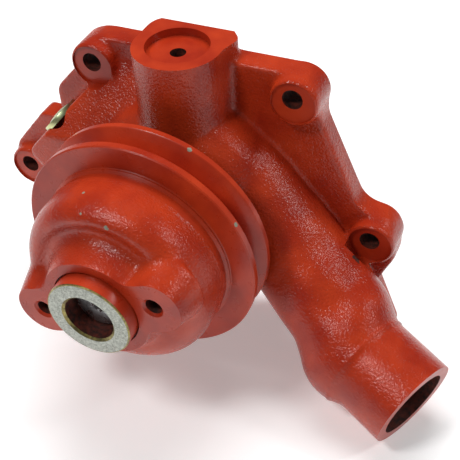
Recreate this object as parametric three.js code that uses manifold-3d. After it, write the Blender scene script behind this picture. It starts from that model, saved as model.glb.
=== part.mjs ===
// Belt-driven engine coolant pump: cast body with a side hose neck, V-belt pulley with a domed
// hub, two ball bearings, a face seal and an open-vane impeller.
//
// Frame: millimetres, +Z up. The shaft turns about Y. The origin is where the shaft axis meets the
// mounting face, which is the plane y = 0. The pulley is toward -Y, the hose neck toward +X.
import * as THREE from "three";
import { mergeVertices } from "three/addons/utils/BufferGeometryUtils.js";
import Module from "manifold-3d";

const wasm = await Module();
wasm.setup();

// ---------------------------------------------------------------- driving dimensions (mm)
const FIT = 0.3; // gap on the radius, or end to end, between pieces that touch
const SEGMENTS = 32; // facets round a large circle
const SMALL_SEGMENTS = 12; // facets round a hole

// mounting flange
const FLANGE_THICKNESS = 12;
const BOSS_HEIGHT = 18; // bolt boss face, from the mounting face
const BOSS_RADIUS = 12;
const BOLT_HOLE_RADIUS = 5.3;
const SPOT_FACE_RADIUS = 11.4;
const SPOT_FACE_DEPTH = 0.8;
const SPOT_FACE_RUN = 10; // how far the spot-facing tool clears in front of a boss
const BOLT_TOP_RIGHT = [59, 64.5];
const BOLT_RIGHT = [100.6, -13];
const BOLT_TOP_LEFT = [-51.2, 62.4];
const BOLT_LEFT = [-107, -18.6];
const BOSS_SHIFT = [0.6, -1.6]; // cast bosses sit a little off their drilled holes
const FLANGE_TOP = 75.5;
const FLANGE_BOTTOM = -62;
const FLANGE_FOOT = [118, -88]; // lower right corner, behind the hose neck

// by-pass boss on top
const TOP_FACE = 85; // height of its flat face over the shaft axis
const TOP_BOSS_RADIUS = 22.3;
const TOP_BOSS_OFFSET = 1.8; // its axis, right of the shaft
const TOP_BOSS_SETBACK = 20.5; // its axis, in front of the mounting face
const TOP_BOSS_RIGHT = 29; // where its back edge ends on the right
const TOP_RECESS_RADIUS = 16;
const TOP_RECESS_DEPTH = 4.2;
const BYPASS_HOLE_RADIUS = 4;

// dome, bearing nose and left-hand discharge chamber
const DOME_RADIUS = 54;
const DOME_DEPTH = 47; // where the dome runs into the nose
const NOSE_WALL = 5.7;
const CHAMBER_DEPTH = 40; // front of the discharge chamber
const CHAMBER_CORNER = [-87, 12];
const CHAMBER_TOP = [-37, 68];
const WALL = 6;

// suction passage and hose neck
const PASSAGE = [
  [28, -14, 12],
  [44, -20, -5],
  [70, -30, -28],
  [95.5, -43.6, -44.3],
  [106, -54.3, -57.6],
];
const PASSAGE_RADIUS = 26.8;
const ELBOW_SWELL = 0.6; // the elbow is a little fatter than the passage
const PASSAGE_WEB = 12; // half width of the web that ties the passage to the flange
const NECK_ROOT = [106.9, -52.8, -56.6];
const NECK_RADIUS = 25.4;
const NECK_BORE_RADIUS = 19.4;
const NECK_LENGTH = 40;
const NECK_DIRECTION = [0.888, -0.404, -0.22];

// wet end
const IMPELLER_CHAMBER_RADIUS = 41;
const IMPELLER_CHAMBER_DEPTH = 13;
const EYE_WALL = 4;
const EYE_RADIUS = 22;
const IMPELLER_RADIUS = 38;
const IMPELLER_SHROUD = 2.6;
const IMPELLER_HUB_RADIUS = 12;
const VANE_COUNT = 6;
const VANE_THICKNESS = 3.6;
const VANE_CURVE_RADIUS = 30;
const RUNNING_GAP = 1;
const SUCTION_FRONT = 38; // front of the suction space, from the mounting face

// core plug in the chamber's side wall
const PLUG_RADIUS = 11;
const PLUG_SETBACK = 26;
const PLUG_CROWN = 1.2;
const PLUG_SINK = 0.8; // rim of the plug below the wall
const PLUG_SHEET = 1.8;

// shaft and bearings (25 x 52 x 15 deep-groove bearings)
const SHAFT_RADIUS = 12.5;
const SHAFT_SEAL_RADIUS = 8;
const SHAFT_RECESS = 9.5; // front end of the shaft, behind the hub face
const SHAFT_CHAMFER = 1.2;
const BEARING_RADIUS = 26;
const BEARING_WIDTH = 15;
const BEARING_PITCH_RADIUS = 19.25;
const BALL_RADIUS = 3.97;
const BALL_COUNT = 9;
const INNER_RACE_RADIUS = 15.6;
const OUTER_RACE_LIP_RADIUS = 22.6;
const CAGE_THICKNESS = 1.9;
const CAGE_WIDTH = 11;
const REAR_BEARING_SHOULDER = 55;
const BEARING_SPACING = 12; // length of the sleeve between the inner races
const CIRCLIP_THICKNESS = 1.75;
const CIRCLIP_BITE = 1.4; // depth of its groove
const CIRCLIP_RING_WIDTH = 4;
const NOSE_LIP = 2.2; // housing left in front of the circlip groove

// seals
const LIP_SEAL_RADIUS = 20;
const LIP_SEAL_WIDTH = 6;
const SLINGER_RADIUS = 17;
const SLINGER_THICKNESS = 1.6;
const DRAIN_ROOM_RADIUS = 19.5;
const DRAIN_HOLE_RADIUS = 3;
const SEAT_RADIUS = 14;
const SEAT_BOOT_WALL = 2;
const SEAT_THICKNESS = 5.5;
const FACE_RING_RADIUS = 12.6;
const FACE_RING_THICKNESS = 3.2;
const BELLOWS_WALL = 2.4;
const SPRING_RADIUS = 14.4;
const SPRING_WIRE_RADIUS = 0.9;
const SPRING_TURNS = 3.5;
const RETAINER_SHEET = 1.2;

// pulley
const PULLEY_RADIUS = 62.5;
const PULLEY_REAR = 57; // rear face, from the mounting face
const REAR_LAND = 3.8;
const PULLEY_CLEARANCE = 3; // casting to pulley
const FRONT_LAND = 4.3;
const GROOVE_WIDTH = 11.9;
const GROOVE_DEPTH = 12;
const GROOVE_ANGLE = 38; // degrees, included
const BELL_STEP_RADIUS = 50;
const BELL_STEP_HEIGHT = 1.6;
const BELL_RADIUS = 49.4;
const BELL_NECK_RADIUS = 48.4;
const NOSE_CLEARANCE = 2; // end of the bearing nose to the inside of the bell
const BELL_ROUND = 17;
const BELL_WALL = 7;
const LUG_HEIGHT = 8.55; // lug faces, in front of the bell's shoulder
const LUG_PITCH_RADIUS = 33.7;
const LUG_RADIUS = 13.2;
const LUG_DRAFT = 2.4;
const LUG_HOLE_RADIUS = 4.2;
const LUG_HOLE_CHAMFER = 1.3;
const LUG_ANGLE = 21.5; // degrees, right lug above the horizontal
const HUB_PAD_RADIUS = 26.5; // casting round the hub
const HUB_PAD_DROP = 2.5; // how far that pad stands behind the lug faces

// hub
const HUB_RADIUS = 21.75;
const HUB_PROUD = 7.5; // front face, in front of the lug faces
const HUB_NECK_RADIUS = 16.5;
const HUB_CHAMFER = 1.1;

// ---------------------------------------------------------------- derived places along the shaft
const rearBearingBack = REAR_BEARING_SHOULDER + FIT;
const rearBearingFront = rearBearingBack + BEARING_WIDTH;
const frontBearingBack = rearBearingFront + BEARING_SPACING + 2 * FIT;
const frontBearingFront = frontBearingBack + BEARING_WIDTH;
const circlipBack = frontBearingFront + FIT;
const circlipFront = circlipBack + CIRCLIP_THICKNESS;
const noseFront = circlipFront + FIT + NOSE_LIP;
const housingBore = BEARING_RADIUS + FIT;
const noseRadius = housingBore + NOSE_WALL;
const pulleyFront = PULLEY_REAR + REAR_LAND + GROOVE_WIDTH + FRONT_LAND;
const bellWallBack = noseFront + NOSE_CLEARANCE;
const bellShoulder = bellWallBack + BELL_WALL;
const lugFace = bellShoulder + LUG_HEIGHT;
const hubFace = lugFace + HUB_PROUD;
const shaftFront = hubFace - SHAFT_RECESS;
const suctionBack = IMPELLER_CHAMBER_DEPTH + EYE_WALL;
const lipSealBack = REAR_BEARING_SHOULDER - 0.5 - LIP_SEAL_WIDTH;
const lipSealFront = lipSealBack + LIP_SEAL_WIDTH;
const seatRoomFront = SUCTION_FRONT + SEAT_THICKNESS;
const impellerBack = RUNNING_GAP;
const impellerFront = IMPELLER_CHAMBER_DEPTH - RUNNING_GAP;
const impellerHubFront = IMPELLER_CHAMBER_DEPTH + RUNNING_GAP;
const shaftStep = lipSealBack - 1; // the shaft steps down behind the lip seal
const axisOut = new THREE.Vector3(0, -1, 0);

// ---------------------------------------------------------------- materials
const paint = { color: 0xb03422, roughness: 0.34, metalness: 0.05 };
const machinedSteel = { color: 0x8f8f8a, roughness: 0.42, metalness: 1 };
const groundSteel = { color: 0xb9babb, roughness: 0.2, metalness: 1 };
const bearingSteel = { color: 0xc4c5c6, roughness: 0.15, metalness: 1 };
const cageSteel = { color: 0xa7a498, roughness: 0.35, metalness: 1 };
const springSteel = { color: 0x6f7276, roughness: 0.3, metalness: 1 };
const yellowZinc = { color: 0xcfc98a, roughness: 0.3, metalness: 0.9 };
const castIron = { color: 0x55534f, roughness: 0.7, metalness: 0.8 };
const blackRubber = { color: 0x1c1c1d, roughness: 0.75, metalness: 0 };
const carbon = { color: 0x2a2b2d, roughness: 0.5, metalness: 0.1 };
const ceramic = { color: 0xe6e0d0, roughness: 0.25, metalness: 0 };
const brass = { color: 0xb59a4c, roughness: 0.3, metalness: 1 };

// ---------------------------------------------------------------- helpers
function solid(geometry) {
  const bare = new THREE.BufferGeometry();
  const source = geometry.index ? geometry.toNonIndexed() : geometry;
  bare.setAttribute("position", source.getAttribute("position"));
  const merged = mergeVertices(bare, 1e-3);
  return new wasm.Manifold(
    new wasm.Mesh({
      numProp: 3,
      vertProperties: new Float32Array(merged.attributes.position.array),
      triVerts: new Uint32Array(merged.index.array),
    }),
  );
}

function geometryOf(manifold) {
  const mesh = manifold.getMesh();
  const position = new Float32Array(mesh.numVert * 3);
  for (let i = 0; i < mesh.numVert; i++) {
    position.set(mesh.vertProperties.subarray(i * mesh.numProp, i * mesh.numProp + 3), i * 3);
  }
  const indexed = new THREE.BufferGeometry();
  indexed.setAttribute("position", new THREE.BufferAttribute(position, 3));
  indexed.setIndex(new THREE.BufferAttribute(new Uint32Array(mesh.triVerts), 1));
  const flat = indexed.toNonIndexed();
  flat.computeVertexNormals();
  return flat;
}

function union(pieces) {
  return pieces.reduce((whole, piece) => whole.add(piece));
}

// A closed ring or disc turned about Y. Points are [radius, distance in front of y = 0].
function turned(points, segments = SEGMENTS) {
  const profile = points.map(([r, front]) => new THREE.Vector2(r, -front));
  const area = THREE.ShapeUtils.area(profile);
  if (area < 0) profile.reverse();
  const onAxis = points.some(([r]) => r === 0);
  if (onAxis) {
    while (profile[0].x !== 0 || profile[profile.length - 1].x !== 0) {
      profile.push(profile.shift());
    }
  } else {
    profile.push(profile[0].clone());
  }
  return new THREE.LatheGeometry(profile, segments);
}

// A plain ring or, with inner = 0, a plain disc.
function ringGeometry(inner, outer, back, front, segments = SEGMENTS) {
  return turned([[inner, back], [outer, back], [outer, front], [inner, front]], segments);
}

const ring = (...sizes) => solid(ringGeometry(...sizes));

// A shape drawn in x and z, extruded from y = -front to y = -back.
function plate(shape, back, front, curveSegments = 8) {
  const geometry = new THREE.ExtrudeGeometry(shape, {
    depth: front - back,
    bevelEnabled: false,
    curveSegments,
  });
  geometry.rotateX(Math.PI / 2);
  geometry.translate(0, -back, 0);
  return geometry;
}

// A closed outline through [x, z, radius] corners, each rounded by its radius.
function roundedShape(corners) {
  const shape = new THREE.Shape();
  const count = corners.length;
  corners.forEach(([x, z, radius = 0], i) => {
    const here = new THREE.Vector2(x, z);
    const before = corners[(i + count - 1) % count];
    const after = corners[(i + 1) % count];
    const toBefore = new THREE.Vector2(before[0], before[1]).sub(here).normalize();
    const toAfter = new THREE.Vector2(after[0], after[1]).sub(here).normalize();
    const half = Math.acos(THREE.MathUtils.clamp(toBefore.dot(toAfter), -1, 1)) / 2;
    const reach = radius / Math.tan(half);
    const start = here.clone().addScaledVector(toBefore, reach);
    const end = here.clone().addScaledVector(toAfter, reach);
    if (i === 0) shape.moveTo(start.x, start.y);
    else shape.lineTo(start.x, start.y);
    if (radius > 0) {
      const inward = toBefore.clone().add(toAfter).normalize();
      const centre = here.clone().addScaledVector(inward, radius / Math.sin(half));
      const from = Math.atan2(start.y - centre.y, start.x - centre.x);
      const to = Math.atan2(end.y - centre.y, end.x - centre.x);
      const clockwise = toBefore.cross(toAfter) > 0;
      shape.absarc(centre.x, centre.y, radius, from, to, clockwise);
    }
  });
  return shape;
}

// A round bar, or cone, from one point to another.
function bar(from, to, radius, endRadius = radius, segments = SEGMENTS) {
  const a = new THREE.Vector3(...from);
  const b = new THREE.Vector3(...to);
  const along = b.clone().sub(a);
  const geometry = new THREE.CylinderGeometry(endRadius, radius, along.length(), segments);
  geometry.translate(0, along.length() / 2, 0);
  const turn = new THREE.Quaternion().setFromUnitVectors(
    new THREE.Vector3(0, 1, 0),
    along.clone().normalize(),
  );
  geometry.applyQuaternion(turn);
  geometry.translate(a.x, a.y, a.z);
  return solid(geometry);
}

function ball(centre, radius, across, up) {
  const geometry = new THREE.SphereGeometry(radius, across, up);
  geometry.translate(...centre);
  return solid(geometry);
}

function box(xRange, yRange, zRange) {
  const size = [xRange, yRange, zRange].map(([low, high]) => high - low);
  const geometry = new THREE.BoxGeometry(...size);
  const middle = [xRange, yRange, zRange].map(([low, high]) => (low + high) / 2);
  geometry.translate(...middle);
  return solid(geometry);
}

function mesh(name, geometry, look) {
  const made = new THREE.Mesh(geometry, new THREE.MeshStandardMaterial(look));
  made.name = name;
  return made;
}

// ---------------------------------------------------------------- pump body
const boltCentres = [BOLT_TOP_RIGHT, BOLT_RIGHT, BOLT_TOP_LEFT, BOLT_LEFT];

// Outline of the mounting flange, which follows its four bolts.
function flangeShape() {
  const [rightX, rightZ] = BOLT_TOP_RIGHT;
  const [sideX, sideZ] = BOLT_RIGHT;
  const [leftX] = BOLT_TOP_LEFT;
  const [earX, earZ] = BOLT_LEFT;
  const [footX, footZ] = FLANGE_FOOT;
  const round = BOSS_RADIUS + 0.6;
  return roundedShape([
    [rightX + round, FLANGE_TOP, round],
    [rightX + round, rightZ - 14, 7],
    [sideX - 8, sideZ + round + 1, 12],
    [sideX + round, sideZ + round - 1, round],
    [sideX + round, sideZ - round - 1, 9],
    [sideX + 2.6, sideZ - 36, 4],
    [footX, footZ, 7],
    [sideX - 48, footZ, 18],
    [sideX - 82, FLANGE_BOTTOM, 26],
    [earX + 52, FLANGE_BOTTOM, 30],
    [earX - round + 2, earZ - round - 3, round],
    [earX - round + 1, earZ + 8, 10],
    [earX + 12, earZ + 36, 5],
    [earX + 26, earZ + 35, 3],
    [earX + 26, earZ + 56, 8],
    [leftX - round, FLANGE_TOP - 20, 8],
    [leftX - round, FLANGE_TOP, 19],
  ]);
}

const topBossAxis = [TOP_BOSS_OFFSET, -TOP_BOSS_SETBACK];

// The boss for the by-pass seal: round in front, square behind.
function topBoss() {
  const left = TOP_BOSS_OFFSET - TOP_BOSS_RADIUS;
  const frontX = TOP_BOSS_OFFSET + TOP_BOSS_RADIUS * 0.74;
  const frontY = -TOP_BOSS_SETBACK - TOP_BOSS_RADIUS * 0.67;
  const shape = roundedShape([
    [left, 0, 3],
    [left, -TOP_BOSS_SETBACK, 0],
    [frontX, frontY, 0],
    [TOP_BOSS_RIGHT, -7, 4],
    [TOP_BOSS_RIGHT, 0, 0],
  ]);
  const foot = DOME_RADIUS / 2;
  const block = new THREE.ExtrudeGeometry(shape, {
    depth: TOP_FACE - foot,
    bevelEnabled: false,
    curveSegments: 6,
  });
  block.translate(0, 0, foot);
  return solid(block).add(bar([...topBossAxis, foot], [...topBossAxis, TOP_FACE], TOP_BOSS_RADIUS));
}

function domeAndNose() {
  return solid(
    turned([
      [0, 0],
      [DOME_RADIUS, 0],
      [DOME_RADIUS, 22],
      [DOME_RADIUS - 2.4, 31],
      [DOME_RADIUS - 8, 38.5],
      [DOME_RADIUS - 15, 43.5],
      [noseRadius + 2.5, DOME_DEPTH],
      [noseRadius, DOME_DEPTH + 3.5],
      [noseRadius, noseFront - 1.2],
      [noseRadius - 1.2, noseFront],
      [0, noseFront],
    ]),
  );
}

// The box-like part on the left, over the discharge chamber.
function chamberBlock() {
  const [cornerX, cornerZ] = CHAMBER_CORNER;
  const [topX, topZ] = CHAMBER_TOP;
  const shape = roundedShape([
    [topX, topZ, 5],
    [cornerX, cornerZ, 5],
    [cornerX + 29, cornerZ - 36, 12],
    [0, cornerZ - 50, 0],
    [0, topZ - 5, 0],
  ]);
  const core = plate(shape, 0, CHAMBER_DEPTH - 2.5, 4);
  const crown = new THREE.ExtrudeGeometry(shape, {
    depth: 0.01,
    bevelEnabled: true,
    bevelThickness: 2.5,
    bevelSize: 2.5,
    bevelOffset: -2.5,
    bevelSegments: 1,
    curveSegments: 4,
  });
  crown.rotateX(Math.PI / 2);
  crown.translate(0, -CHAMBER_DEPTH + 2.5, 0);
  return solid(core).add(solid(crown));
}

const neckDirection = new THREE.Vector3(...NECK_DIRECTION).normalize();
const ELBOW = PASSAGE[PASSAGE.length - 1];
const along = (distance) =>
  new THREE.Vector3(...NECK_ROOT).addScaledVector(neckDirection, distance).toArray();

// Round passage swept through the listed points, ending in a ball at the elbow.
function passageSolid(radius, sides, steps) {
  const centres = PASSAGE.map((point) => new THREE.Vector3(...point));
  const section = new THREE.Shape().absarc(0, 0, radius, 0, 2 * Math.PI);
  const sweep = new THREE.ExtrudeGeometry(section, {
    steps,
    curveSegments: sides / 2,
    extrudePath: new THREE.CatmullRomCurve3(centres),
  });
  return solid(sweep).add(ball(ELBOW, radius + ELBOW_SWELL, sides, sides / 2));
}

// Web behind the end of the passage, down to the mounting face.
function passageWeb() {
  const [fromX, fromY, fromZ] = PASSAGE[2];
  const [toX, , toZ] = PASSAGE[3];
  const run = new THREE.Vector2(toX - fromX, toZ - fromZ).setLength(PASSAGE_WEB);
  return solid(
    plate(
      roundedShape([
        [fromX - run.y, fromZ + run.x],
        [fromX + run.y, fromZ - run.x],
        [toX + run.y, toZ - run.x, PASSAGE_WEB / 2],
        [toX - run.y, toZ + run.x, PASSAGE_WEB / 2],
      ]),
      0,
      -fromY,
      3,
    ),
  );
}

function passageAndNeck() {
  return union([
    passageSolid(PASSAGE_RADIUS, 24, 7),
    passageWeb(),
    bar(NECK_ROOT, along(NECK_LENGTH), NECK_RADIUS, NECK_RADIUS, 28),
  ]);
}

// Everything the water runs through.
function waterways() {
  const ahead = box([-200, 200], [-200, -suctionBack], [-200, 200]);
  const passage = passageSolid(PASSAGE_RADIUS - WALL, 14, 5).intersect(ahead);
  const suction = solid(
    turned([
      [0, suctionBack],
      [DOME_RADIUS - WALL, suctionBack],
      [DOME_RADIUS - WALL - 3.5, suctionBack + 12],
      [DOME_RADIUS - WALL - 13, SUCTION_FRONT],
      [0, SUCTION_FRONT],
    ], 24),
  );
  const [cornerX, cornerZ] = CHAMBER_CORNER;
  const discharge = roundedShape([
    [cornerX + 44, cornerZ + 36, 3],
    [cornerX + 36, cornerZ + 35, 3],
    [cornerX + 8, cornerZ + 1, 3],
    [cornerX + 20, cornerZ - 16, 3],
    [cornerX + 31, cornerZ - 12, 4],
    [cornerX + 33, cornerZ + 12, 12],
  ]);
  const outletX = [-60, -26];
  const outletZ = [0, 14];
  return union([
    passage,
    suction,
    ring(0, EYE_RADIUS, IMPELLER_CHAMBER_DEPTH - 1, suctionBack + 1, 24),
    ring(0, IMPELLER_CHAMBER_RADIUS, -1, IMPELLER_CHAMBER_DEPTH),
    bar(NECK_ROOT, along(NECK_LENGTH + 2), NECK_BORE_RADIUS, NECK_BORE_RADIUS, 24),
    solid(plate(discharge, -1, CHAMBER_DEPTH - WALL + 2, 3)),
    box(outletX, [-IMPELLER_CHAMBER_DEPTH, 1], outletZ),
    bar(
      [...topBossAxis, DOME_RADIUS - WALL - 6],
      [...topBossAxis, TOP_FACE],
      BYPASS_HOLE_RADIUS,
      BYPASS_HOLE_RADIUS,
      SMALL_SEGMENTS,
    ),
  ]);
}

// Stepped bore for the bearings, their circlip, the lip seal and the face seal's seat.
function housingBores() {
  const groove = housingBore + CIRCLIP_BITE;
  const seat = SEAT_RADIUS + SEAT_BOOT_WALL + FIT;
  const lip = LIP_SEAL_RADIUS + FIT;
  return union([
    solid(
      turned([
        [0, SUCTION_FRONT - 1],
        [seat, SUCTION_FRONT - 1],
        [seat, seatRoomFront],
        [DRAIN_ROOM_RADIUS, seatRoomFront + 0.5],
        [DRAIN_ROOM_RADIUS, lipSealBack - FIT],
        [lip, lipSealBack - FIT],
        [lip, lipSealFront + 0.4],
        [lip + 2, REAR_BEARING_SHOULDER],
        [housingBore, REAR_BEARING_SHOULDER],
        [housingBore, circlipBack - FIT / 2],
        [groove, circlipBack - FIT / 2],
        [groove, circlipFront + FIT / 2],
        [housingBore, circlipFront + FIT / 2],
        [housingBore, noseFront - 1],
        [housingBore + 1.4, noseFront + 0.4],
        [0, noseFront + 0.4],
      ], 28),
    ),
    bar(
      [0, -(seatRoomFront + lipSealBack) / 2, 0],
      [0, -(seatRoomFront + lipSealBack) / 2, -DOME_RADIUS - 4],
      DRAIN_HOLE_RADIUS,
      DRAIN_HOLE_RADIUS,
      10,
    ),
  ]);
}

const plugFacing = new THREE.Vector2(
  -(CHAMBER_TOP[1] - CHAMBER_CORNER[1]),
  CHAMBER_TOP[0] - CHAMBER_CORNER[0],
).normalize();
const plugMiddle = new THREE.Vector2(...CHAMBER_CORNER).lerp(new THREE.Vector2(...CHAMBER_TOP), 0.33);

function plugBore() {
  const out = 4;
  const into = 14;
  const spot = (distance) => [
    plugMiddle.x + plugFacing.x * distance,
    -PLUG_SETBACK,
    plugMiddle.y + plugFacing.y * distance,
  ];
  return bar(spot(-into), spot(out), PLUG_RADIUS + FIT, PLUG_RADIUS + FIT, 24);
}

function boltWork() {
  return union(
    boltCentres.flatMap(([x, z]) => [
      bar([x, 1, z], [x, -BOSS_HEIGHT - 1, z], BOLT_HOLE_RADIUS, BOLT_HOLE_RADIUS, SMALL_SEGMENTS),
      bar(
        [x + BOSS_SHIFT[0], -BOSS_HEIGHT + SPOT_FACE_DEPTH, z + BOSS_SHIFT[1]],
        [x + BOSS_SHIFT[0], -BOSS_HEIGHT - SPOT_FACE_RUN, z + BOSS_SHIFT[1]],
        SPOT_FACE_RADIUS,
        SPOT_FACE_RADIUS,
        24,
      ),
    ]),
  );
}

function pumpBody() {
  const [earX, earZ] = BOLT_LEFT;
  const bosses = boltCentres.map(([x, z]) => {
    const [shiftX, shiftZ] = BOSS_SHIFT;
    const foot = [x + shiftX, 0, z + shiftZ];
    return bar(foot, [foot[0], -BOSS_HEIGHT, foot[2]], BOSS_RADIUS, BOSS_RADIUS, 24);
  });
  const casting = union([
    solid(plate(flangeShape(), 0, FLANGE_THICKNESS, 5)),
    ...bosses,
    box([earX, earX + 34], [-BOSS_HEIGHT, 0], [earZ - BOSS_RADIUS, earZ + BOSS_RADIUS]),
    topBoss(),
    domeAndNose(),
    chamberBlock(),
    passageAndNeck(),
  ]);
  const topRecess = bar(
    [...topBossAxis, TOP_FACE - TOP_RECESS_DEPTH],
    [...topBossAxis, TOP_FACE + 1],
    TOP_RECESS_RADIUS,
    TOP_RECESS_RADIUS,
    28,
  );
  const behind = box([-300, 300], [0, 200], [-300, 300]);
  const pulleySweep = ring(
    noseRadius,
    PULLEY_RADIUS + PULLEY_CLEARANCE,
    PULLEY_REAR - PULLEY_CLEARANCE,
    lugFace,
  );
  const cut = [waterways(), housingBores(), plugBore(), boltWork(), topRecess, pulleySweep, behind];
  return geometryOf(cut.reduce((body, tool) => body.subtract(tool), casting));
}

// Domed expansion plug, turned on its own axis.
function corePlug() {
  const crown = (r) => PLUG_CROWN * (1 - (r / PLUG_RADIUS) ** 2);
  const outside = [0, 4, 8, PLUG_RADIUS].map((r) => [r, crown(r)]);
  const inside = outside.map(([r, y]) => [r, y - PLUG_SHEET]).reverse();
  const profile = [...outside, ...inside].reverse().map(([r, y]) => new THREE.Vector2(r, y));
  return new THREE.LatheGeometry(profile, 24);
}

// ---------------------------------------------------------------- pulley and hub
function pulleyTurning() {
  const taper = GROOVE_DEPTH * Math.tan(THREE.MathUtils.degToRad(GROOVE_ANGLE / 2));
  const rearEdge = PULLEY_REAR + REAR_LAND;
  const frontEdge = rearEdge + GROOVE_WIDTH;
  const bottom = PULLEY_RADIUS - GROOVE_DEPTH;
  const inner = BELL_RADIUS - BELL_WALL;
  const innerRound = BELL_ROUND - BELL_WALL;
  const arc = (radius, round, end, steps) =>
    Array.from({ length: steps + 1 }, (_, i) => {
      const angle = (Math.PI / 2) * (i / steps);
      return [
        radius - round + round * Math.cos(angle),
        end - round + round * Math.sin(angle),
      ];
    });
  return solid(
    turned([
      [inner, PULLEY_REAR],
      [PULLEY_RADIUS, PULLEY_REAR],
      [PULLEY_RADIUS, rearEdge],
      [bottom, rearEdge + taper],
      [bottom, frontEdge - taper],
      [PULLEY_RADIUS, frontEdge],
      [PULLEY_RADIUS, pulleyFront],
      [BELL_STEP_RADIUS, pulleyFront],
      [BELL_STEP_RADIUS, pulleyFront + BELL_STEP_HEIGHT],
      [BELL_NECK_RADIUS, pulleyFront + BELL_STEP_HEIGHT + 1],
      ...arc(BELL_RADIUS, BELL_ROUND, bellShoulder, 5),
      [HUB_RADIUS + FIT, bellShoulder],
      [HUB_RADIUS + FIT, bellWallBack],
      ...arc(inner, innerRound, bellWallBack, 3).reverse(),
    ], 40),
  );
}

// Pads for the fan bolts and the pad round the hub.
function pulleyPads() {
  const base = bellWallBack + 1;
  const lug = (side) =>
    bar(
      [side * LUG_PITCH_RADIUS, -base, 0],
      [side * LUG_PITCH_RADIUS, -lugFace, 0],
      LUG_RADIUS + LUG_DRAFT,
      LUG_RADIUS,
      24,
    );
  const bridge = box(
    [-LUG_PITCH_RADIUS, LUG_PITCH_RADIUS],
    [-lugFace, -base],
    [-LUG_RADIUS, LUG_RADIUS],
  );
  const padFront = lugFace - HUB_PAD_DROP;
  const pad = bar([0, -base, 0], [0, -padFront, 0], HUB_PAD_RADIUS + 5, HUB_PAD_RADIUS);
  return union([lug(1), lug(-1), bridge, pad]);
}

function pulley() {
  const bore = ring(0, HUB_RADIUS + FIT, PULLEY_REAR, lugFace + 1);
  const undercut = ring(0, HUB_RADIUS + 2.6, lugFace - HUB_PAD_DROP - 1, lugFace + 1);
  const insideRoom = ring(0, BELL_RADIUS - BELL_WALL, PULLEY_REAR - 1, bellWallBack - 8);
  const holes = [1, -1].flatMap((side) => [
    bar(
      [side * LUG_PITCH_RADIUS, -bellWallBack + 12, 0],
      [side * LUG_PITCH_RADIUS, -lugFace - 1, 0],
      LUG_HOLE_RADIUS,
      LUG_HOLE_RADIUS,
      SMALL_SEGMENTS,
    ),
    bar(
      [side * LUG_PITCH_RADIUS, -lugFace + LUG_HOLE_CHAMFER, 0],
      [side * LUG_PITCH_RADIUS, -lugFace - 0.2, 0],
      LUG_HOLE_RADIUS,
      LUG_HOLE_RADIUS + LUG_HOLE_CHAMFER + 0.2,
      SMALL_SEGMENTS,
    ),
  ]);
  const tools = [bore, undercut, insideRoom, ...holes];
  const casting = pulleyTurning().add(pulleyPads());
  return geometryOf(tools.reduce((body, tool) => body.subtract(tool), casting));
}

function pulleyHub() {
  const bore = SHAFT_RADIUS + FIT;
  return turned([
    [bore, frontBearingFront + FIT],
    [HUB_NECK_RADIUS, frontBearingFront + FIT],
    [HUB_NECK_RADIUS, bellWallBack - 1],
    [HUB_RADIUS, bellWallBack - 1],
    [HUB_RADIUS, hubFace - 0.5],
    [HUB_RADIUS - 0.5, hubFace],
    [bore + HUB_CHAMFER, hubFace],
    [bore, hubFace - HUB_CHAMFER],
  ]);
}

// ---------------------------------------------------------------- shaft and bearings
function shaft() {
  return turned([
    [0, impellerBack + 0.5],
    [SHAFT_SEAL_RADIUS, impellerBack + 0.5],
    [SHAFT_SEAL_RADIUS, shaftStep - 1],
    [SHAFT_RADIUS, shaftStep],
    [SHAFT_RADIUS, shaftFront - SHAFT_CHAMFER],
    [SHAFT_RADIUS - SHAFT_CHAMFER, shaftFront],
    [0, shaftFront],
  ]);
}

const trackGap = 0.25;

function innerRace() {
  const half = BEARING_WIDTH / 2;
  const track = BEARING_PITCH_RADIUS - BALL_RADIUS - trackGap;
  return turned([
    [SHAFT_RADIUS + FIT, -half],
    [INNER_RACE_RADIUS, -half],
    [INNER_RACE_RADIUS, -2],
    [track, 0],
    [INNER_RACE_RADIUS, 2],
    [INNER_RACE_RADIUS, half],
    [SHAFT_RADIUS + FIT, half],
  ], 28);
}

function outerRace() {
  const half = BEARING_WIDTH / 2;
  const track = BEARING_PITCH_RADIUS + BALL_RADIUS + trackGap;
  return turned([
    [BEARING_RADIUS, -half],
    [BEARING_RADIUS, half],
    [OUTER_RACE_LIP_RADIUS, half],
    [OUTER_RACE_LIP_RADIUS, 2.6],
    [track, 1],
    [track, -1],
    [OUTER_RACE_LIP_RADIUS, -2.6],
    [OUTER_RACE_LIP_RADIUS, -half],
  ], 28);
}

function ballPlace(i) {
  const angle = (2 * Math.PI * i) / BALL_COUNT;
  return [BEARING_PITCH_RADIUS * Math.cos(angle), 0, BEARING_PITCH_RADIUS * Math.sin(angle)];
}

function cage() {
  const inner = BEARING_PITCH_RADIUS - CAGE_THICKNESS / 2;
  const outer = BEARING_PITCH_RADIUS + CAGE_THICKNESS / 2;
  const band = ring(inner, outer, -CAGE_WIDTH / 2, CAGE_WIDTH / 2, 27);
  const pocket = BALL_RADIUS + FIT;
  const pockets = Array.from({ length: BALL_COUNT }, (_, i) => {
    const [x, , z] = ballPlace(i);
    return bar([x * 0.8, 0, z * 0.8], [x * 1.2, 0, z * 1.2], pocket, pocket, 8);
  });
  return geometryOf(pockets.reduce((body, tool) => body.subtract(tool), band));
}

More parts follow.
